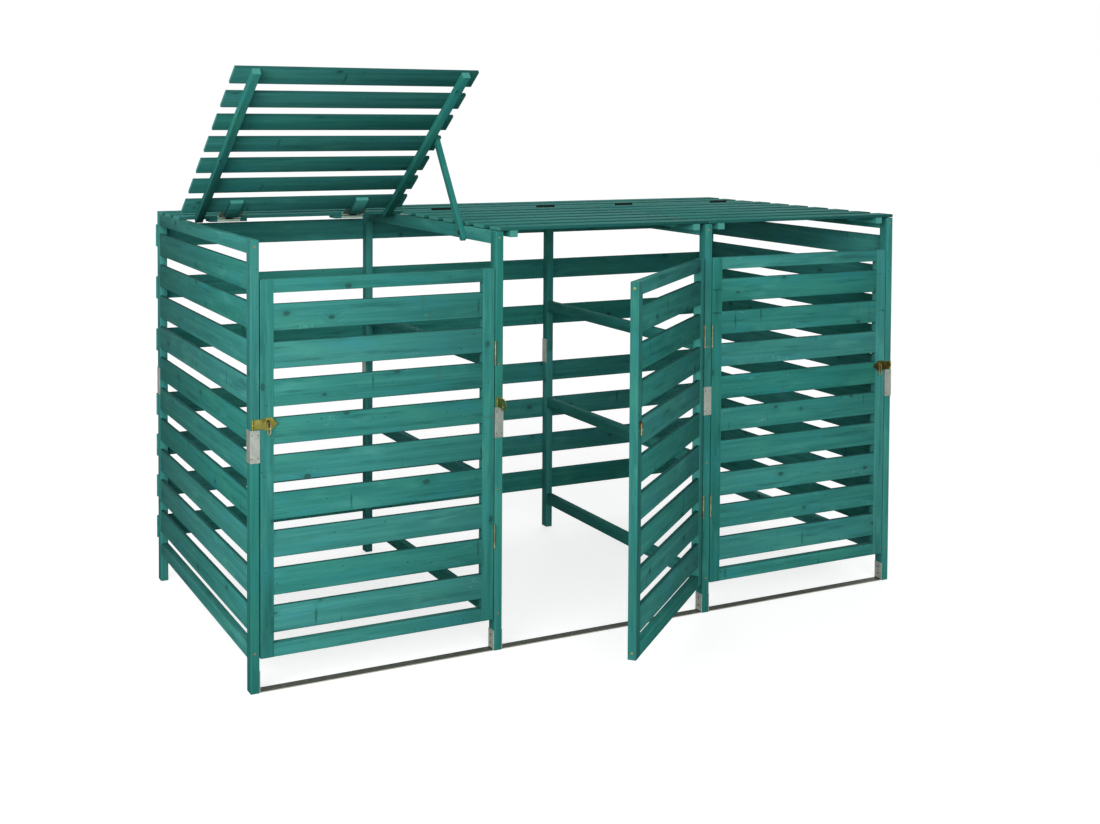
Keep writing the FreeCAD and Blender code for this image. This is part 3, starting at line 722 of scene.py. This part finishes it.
# Slot and material, then the head's radius, its rise and the depth of its cross in millimetres.
FIXINGS = {
    "post_screw": ("hinge_steel", "screw_brass", 3.4, 0.5, 0.9),
    "post_nail": ("galvanised", "nail_steel", 1.5, 0.3, 0),
    "sill_screw": ("sill_steel", "nail_steel", 3, 0.6, 0.7),
    "sleeve_nail": ("galvanised", "nail_steel", 1.7, 0.4, 0),
    "board_nail": ("galvanised", "nail_steel", 2, 0.3, 0),
    "door_screw": ("hinge_steel", "hasp_brass", 4, 0.5, 0.9),
    "leaf_screw": ("hinge_steel", "hinge_steel", 2, 0.2, 0.3),
    "staple_screw": ("hasp_brass", "hasp_brass", 1.8, 0.1, 0.5),
}


def fixing_heads(name, body, kind, places):
    """Domed heads of one kind, one at each place, turned at random."""
    slot, material, *sizes = FIXINGS[kind]
    radius, rise, recess = (size * MM for size in sizes)
    bm = bmesh.new()
    draw = np.random.default_rng(len(places))
    for point, normal in places:
        turn = Vector(normal).to_track_quat("Z", "Y").to_matrix()
        spin = draw.uniform(0, math.tau)

        def spot(share, step, height):
            angle = spin + math.tau * step / HEAD_STEPS
            flat = (share * radius * math.cos(angle), share * radius * math.sin(angle), height)
            return bm.verts.new(Vector(point) + turn @ Vector(flat))

        middle = spot(0, 0, rise - recess)
        rings = []
        for share, height in HEAD_RINGS:
            ring = []
            for step in range(HEAD_STEPS):
                in_cross = share < CROSS_REACH and step % 4 == 0
                ring.append(spot(share, step, rise * height - (recess if in_cross else 0)))
            rings.append(ring)
        rings.append([spot(1.0, step, SUNK) for step in range(HEAD_STEPS)])
        for step in range(HEAD_STEPS):
            after = (step + 1) % HEAD_STEPS
            bm.faces.new((middle, rings[0][step], rings[0][after]))
            for inner, outer in zip(rings, rings[1:]):
                bm.faces.new((inner[step], outer[step], outer[after], inner[after]))
        bm.faces.new(rings[-1][::-1])
    mesh = mesh_from(bm, name)
    mesh.polygons.foreach_set("use_smooth", [True] * len(mesh.polygons))
    mesh.set_sharp_from_angle(angle=HEAD_CREASE)
    return new_piece(name, mesh, body, slot, material)


POST_X = (-1110 * MM, -370 * MM, 370 * MM, 1110 * MM)
POST_FACE = -19 * MM
POST_HALF = 12.5 * MM
RAIL_HEIGHTS = (111 * MM, 486 * MM, 861 * MM, 1236 * MM)
SLATS, FIRST_SLAT, SLAT_PITCH = 10, 230, 105
SLAT_NAIL_ASIDE = 4 * MM
AHEAD = Vector((0, -1, 0))
SILL_THICK = 2.5 * MM
SILL_SCREWS = (0.35, 0.75)  # shares of the upright end's height
SLEEVE_ASIDE, SLEEVE_SHARE = 8.5 * MM, 0.36


def post_fixings():
    """Through the front posts into the ends of the rails, and small nails beside the slats."""
    screws, nails = [], []
    for number, x in enumerate(POST_X):
        outer = number in (0, 3)
        for height in (RAIL_HEIGHTS[0], RAIL_HEIGHTS[3]) if outer else RAIL_HEIGHTS:
            screws.append((Vector((x, POST_FACE, height)), AHEAD))
        if outer:
            inward = SLAT_NAIL_ASIDE if number == 0 else -SLAT_NAIL_ASIDE
            for slat in range(SLATS):
                height = (FIRST_SLAT + SLAT_PITCH * slat) * MM
                nails.append((Vector((x + inward, POST_FACE, height)), AHEAD))
    fixing_heads("post_screws", "frame", "post_screw", screws)
    fixing_heads("post_nails", "frame", "post_nail", nails)


def sill_screws():
    """Two through each upright end of a sill."""
    low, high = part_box("sills")
    places = []
    for start, end in zip(POST_X, POST_X[1:]):
        for x, side in ((start, 1), (end, -1)):
            face = x + side * (POST_HALF + SILL_THICK)
            for share in SILL_SCREWS:
                point = Vector((face, (low.y + high.y) / 2, high.z * share))
                places.append((point, Vector((side, 0, 0))))
    fixing_heads("sill_screws", "frame", "sill_screw", places)


def sleeve_nails():
    """Four in each sleeve that joins two lengths of a post."""
    places = []
    for row, normal in (("front", AHEAD), ("rear", -AHEAD)):
        low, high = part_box(f"splice_sleeves_{row}")
        face = low.y if row == "front" else high.y
        middle, reach = (low.z + high.z) / 2, (high.z - low.z) * SLEEVE_SHARE
        for x in POST_X:
            for across in (-SLEEVE_ASIDE, SLEEVE_ASIDE):
                for height in (-reach, reach):
                    places.append((Vector((x + across, face, middle + height)), normal))
    fixing_heads("sleeve_nails", "frame", "sleeve_nail", places)


def board_nails():
    """Boards nailed to what carries them: back to posts, roof to rails, lids to battens."""
    posts = [board for number in range(1, 5) for board in boards_of(f"post_rear_{number}")]
    back = crossings(boards_of("back_boards"), posts, FRAME_SPREAD)
    rows = [f"{kind}_rails_{hand}" for kind in ("side", "partition") for hand in ("left", "right")]
    rails = [board for row in rows for board in boards_of(row)]
    roof = crossings(boards_of("roof_boards"), rails, FRAME_SPREAD)
    fixing_heads("frame_nails", "frame", "board_nail", back + roof)
    for side in SIDES:
        lid = f"lid_{side}"
        battens = boards_of(f"{lid}_battens")
        places = crossings(boards_of(f"{lid}_boards"), battens, LID_SPREAD)
        fixing_heads(f"{lid}_nails", lid, "board_nail", places)


JOINTS = {joint["name"]: joint for joint in frame["record"]["behaviour"]["joints"]}
DOOR_PLAY = 0.5 * MM  # hinge axis to the free faces of a door hinge's leaves
STILE_HALF = 19 * MM
LEAF_HALF, LEAF_REACH = 36 * MM, 12 * MM
LEAF_STEPS = (-26, 0, 26)
STAPLE_REACH, STAPLE_FACE, STAPLE_HEIGHT = 687.5 * MM, 2.0 * MM, 748 * MM
STAPLE_ASIDE, STAPLE_RISE = 9.5, 7.5


def door_screws(side):
    """In the outer edges of the stiles, on the staple's plate and on the hinge's leaves."""
    hinge = Vector(JOINTS[f"door_{side}_hinge"]["pos_m"])
    rails, stiles = [], []
    for axes, centre, _ in boards_of(f"door_{side}_frame"):
        grain = Vector(axes[0])
        (stiles if abs(grain.z) > 0.5 else rails).append((grain, Vector(centre @ axes)))
    middle = sum((place for _, place in rails), Vector()) / 2
    reach = rails[0][0]
    if (middle - hinge).dot(reach) < 0:
        reach = -reach
    inward = Vector((0, 0, 1)).cross(reach)
    if (middle - hinge).dot(inward) < 0:
        inward = -inward
    depth = (middle - hinge).dot(inward)
    width = max((place - hinge).dot(reach) for _, place in stiles) + STILE_HALF

    def spot(along, across, height):
        point = hinge + reach * along + inward * across
        return Vector((point.x, point.y, height))

    heights = sorted(place.z for _, place in rails)
    corners = [(spot(width, depth, height), reach) for height in heights]
    low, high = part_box(f"door_{side}_hinge_leaves")
    leaves = [
        (spot(DOOR_PLAY, LEAF_REACH, level + step * MM), -reach)
        for level in (low.z + LEAF_HALF, high.z - LEAF_HALF)
        for step in LEAF_STEPS
    ]
    plate = [
        (spot(STAPLE_REACH + across * MM, STAPLE_FACE, STAPLE_HEIGHT + rise * MM), -inward)
        for across in (-STAPLE_ASIDE, STAPLE_ASIDE)
        for rise in (-STAPLE_RISE, STAPLE_RISE)
    ]
    body = f"door_{side}"
    fixing_heads(f"door_{side}_screws", body, "door_screw", corners)
    fixing_heads(f"door_{side}_leaf_screws", body, "leaf_screw", leaves)
    fixing_heads(f"staple_{side}_screws", body, "staple_screw", plate)


UPSTAND_HALF, UPSTAND_ASIDE = 37.5 * MM, 163 * MM
UPSTAND_DEPTHS, UPSTAND_HEIGHTS = (3.2 * MM, 5.4 * MM), (6.5 * MM, 14 * MM)
UPSTAND_ROUND = 2.2 * MM


def steel_box(bm, low, high):
    """A thin steel piece with rounded upper corners, given by two opposite corners."""
    verts = bmesh.ops.create_cube(bm, size=1)["verts"]
    size, middle = [b - a for a, b in zip(low, high)], [(a + b) / 2 for a, b in zip(low, high)]
    for vert in verts:
        vert.co = Vector([c * d + m for c, d, m in zip(vert.co, size, middle)])
    upper = [
        edge
        for edge in {edge for vert in verts for edge in vert.link_edges}
        if all(vert.co.z > middle[2] for vert in edge.verts)
        and abs(edge.verts[0].co.y - edge.verts[1].co.y) > 1e-6
    ]
    sizes = {"offset": UPSTAND_ROUND, "segments": 4, "profile": 0.5}
    bmesh.ops.bevel(bm, geom=upper, affect="EDGES", **sizes)


def hinge_upstands():
    """The fixed leaf of a lid hinge ends in a lip that shows above the roof boards, dark with
    grease and painted shade.

    The raised left lid's leaves show their pale faces instead.
    """
    (near, far), (bottom, top) = UPSTAND_DEPTHS, UPSTAND_HEIGHTS
    bm = bmesh.new()
    for side in SIDES[1:]:
        low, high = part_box(f"lid_{side}_boards")
        for centre in (low.x + UPSTAND_ASIDE, high.x - UPSTAND_ASIDE):
            steel_box(
                bm,
                (centre - UPSTAND_HALF, LID_AXIS_Y + near, LID_AXIS_Z + bottom),
                (centre + UPSTAND_HALF, LID_AXIS_Y + far, LID_AXIS_Z + top),
            )
    mesh = mesh_from(bm, "hinge_upstands")
    new_piece("hinge_upstands", mesh, "frame", "hinge_steel", "roof_hinge")


post_fixings()
sill_screws()
sleeve_nails()
board_nails()
for side in SIDES:
    door_screws(side)
hinge_upstands()


# Stage: pale floor, white surround, soft light and the photograph's camera


FLOOR_BOUNCE, FLOOR_SHADE, FLOOR_GLOW = 0.3, 0.6, 0.7
FLOOR_HALF, FLOOR_DROP = 30, 0.3 * MM
WORLD_LIGHT = 0.26

# Direction, energy and angle of spread.
SUNS = {
    "key": ((0.25, 0.93, -0.28), 1.85, 35),
    "fill": ((-0.45, -0.8, -0.15), 1.9, 60),
}
PANEL_PLACE, PANEL_AIM = Vector((-5.5, -3.5, 2.8)), Vector((-0.9, 0, 0.7))
PANEL_SIZE = (4.0, 3.5)
PANEL_POWER = 235


def pale_floor():
    """Wide floor that takes soft shadows and is seen brighter than it lights the store."""
    bm = bmesh.new()
    bmesh.ops.create_grid(bm, x_segments=4, y_segments=4, size=FLOOR_HALF)
    mesh = mesh_from(bm, "floor")
    floor = put_in_scene("floor", mesh)
    floor.location.z = -FLOOR_DROP
    material = bpy.data.materials.new("floor")
    t = Tree(material)
    seen = t.add("ShaderNodeLightPath").outputs["Is Camera Ray"]
    tint = t.mix(seen, grey(FLOOR_BOUNCE), grey(FLOOR_SHADE))
    face = t.add("ShaderNodeBsdfDiffuse", Color=tint)
    glow = t.add("ShaderNodeEmission", Color=grey(1.0), Strength=FLOOR_GLOW)
    shown = t.add("ShaderNodeAddShader", _0=face, _1=glow)
    t.surface(t.add("ShaderNodeMixShader", _0=seen, _1=face, _2=shown))
    mesh.materials.append(material)


def surround():
    """White where it is seen, itself or mirrored, and dimmer as a light."""
    world = bpy.context.scene.world or bpy.data.worlds.new("surround")
    bpy.context.scene.world = world
    t = Tree(world)
    path = t.add("ShaderNodeLightPath").outputs
    seen = t.math("ADD", path["Is Camera Ray"], path["Is Glossy Ray"], clamp=True)
    seen = t.math("ADD", seen, path["Is Transmission Ray"], clamp=True)
    light = t.add("ShaderNodeBackground", Color=grey(1.0), Strength=WORLD_LIGHT)
    white = t.add("ShaderNodeBackground", Color=grey(1.0), Strength=1.0)
    t.surface(t.add("ShaderNodeMixShader", _0=seen, _1=light, _2=white), "ShaderNodeOutputWorld")


def lights():
    """Broad light from in front and from behind, and a soft panel at the left front."""
    for name, (direction, energy, angle) in SUNS.items():
        sun = bpy.data.lights.new(name, "SUN")
        sun.energy = energy
        sun.angle = math.radians(angle)
        lamp = put_in_scene(name, sun)
        lamp.visible_glossy = name != "fill"
        lamp.rotation_euler = Vector(direction).to_track_quat("-Z", "Y").to_euler()

    panel = bpy.data.lights.new("side", "AREA")
    panel.shape = "RECTANGLE"
    panel.size, panel.size_y = PANEL_SIZE
    panel.energy = PANEL_POWER
    lamp = put_in_scene("side", panel)
    lamp.location = PANEL_PLACE
    lamp.visible_camera = False
    aim = PANEL_AIM - PANEL_PLACE
    lamp.rotation_euler = aim.to_track_quat("-Z", "Y").to_euler()


IMAGE_WIDTH, IMAGE_HEIGHT = 1100, 824
CAMERA_PLACE = (-2.2309, -3.9271, 1.6067)
CAMERA_TURN = (27.62, -2.135, 0.349)  # yaw, pitch and roll in degrees
FOCAL, CENTRE_X, CENTRE_Y = 1464.6, 555.3, 167.7  # in the photograph's pixels


def camera():
    """The photograph's camera: place, direction and framing fitted to its straight edges."""
    yaw, pitch, roll = (math.radians(angle) for angle in CAMERA_TURN)
    ahead = Vector(
        (math.sin(yaw) * math.cos(pitch), math.cos(yaw) * math.cos(pitch), math.sin(pitch))
    )
    level = ahead.cross(Vector((0, 0, 1))).normalized()
    upright = level.cross(ahead)
    right = level * math.cos(roll) + upright * math.sin(roll)
    up = upright * math.cos(roll) - level * math.sin(roll)
    lens = bpy.data.cameras.new("camera")
    lens.sensor_width = 36
    lens.lens = FOCAL / IMAGE_WIDTH * lens.sensor_width
    lens.shift_x = (IMAGE_WIDTH / 2 - CENTRE_X) / IMAGE_WIDTH
    lens.shift_y = (CENTRE_Y - IMAGE_HEIGHT / 2) / IMAGE_WIDTH
    lens.clip_end = 100
    item = put_in_scene("camera", lens)
    turn = Matrix((right, up, -ahead)).transposed()
    item.matrix_world = Matrix.Translation(CAMERA_PLACE) @ turn.to_4x4()
    bpy.context.scene.camera = item


pale_floor()
surround()
lights()
camera()
bpy.context.scene.view_settings.view_transform = "Standard"
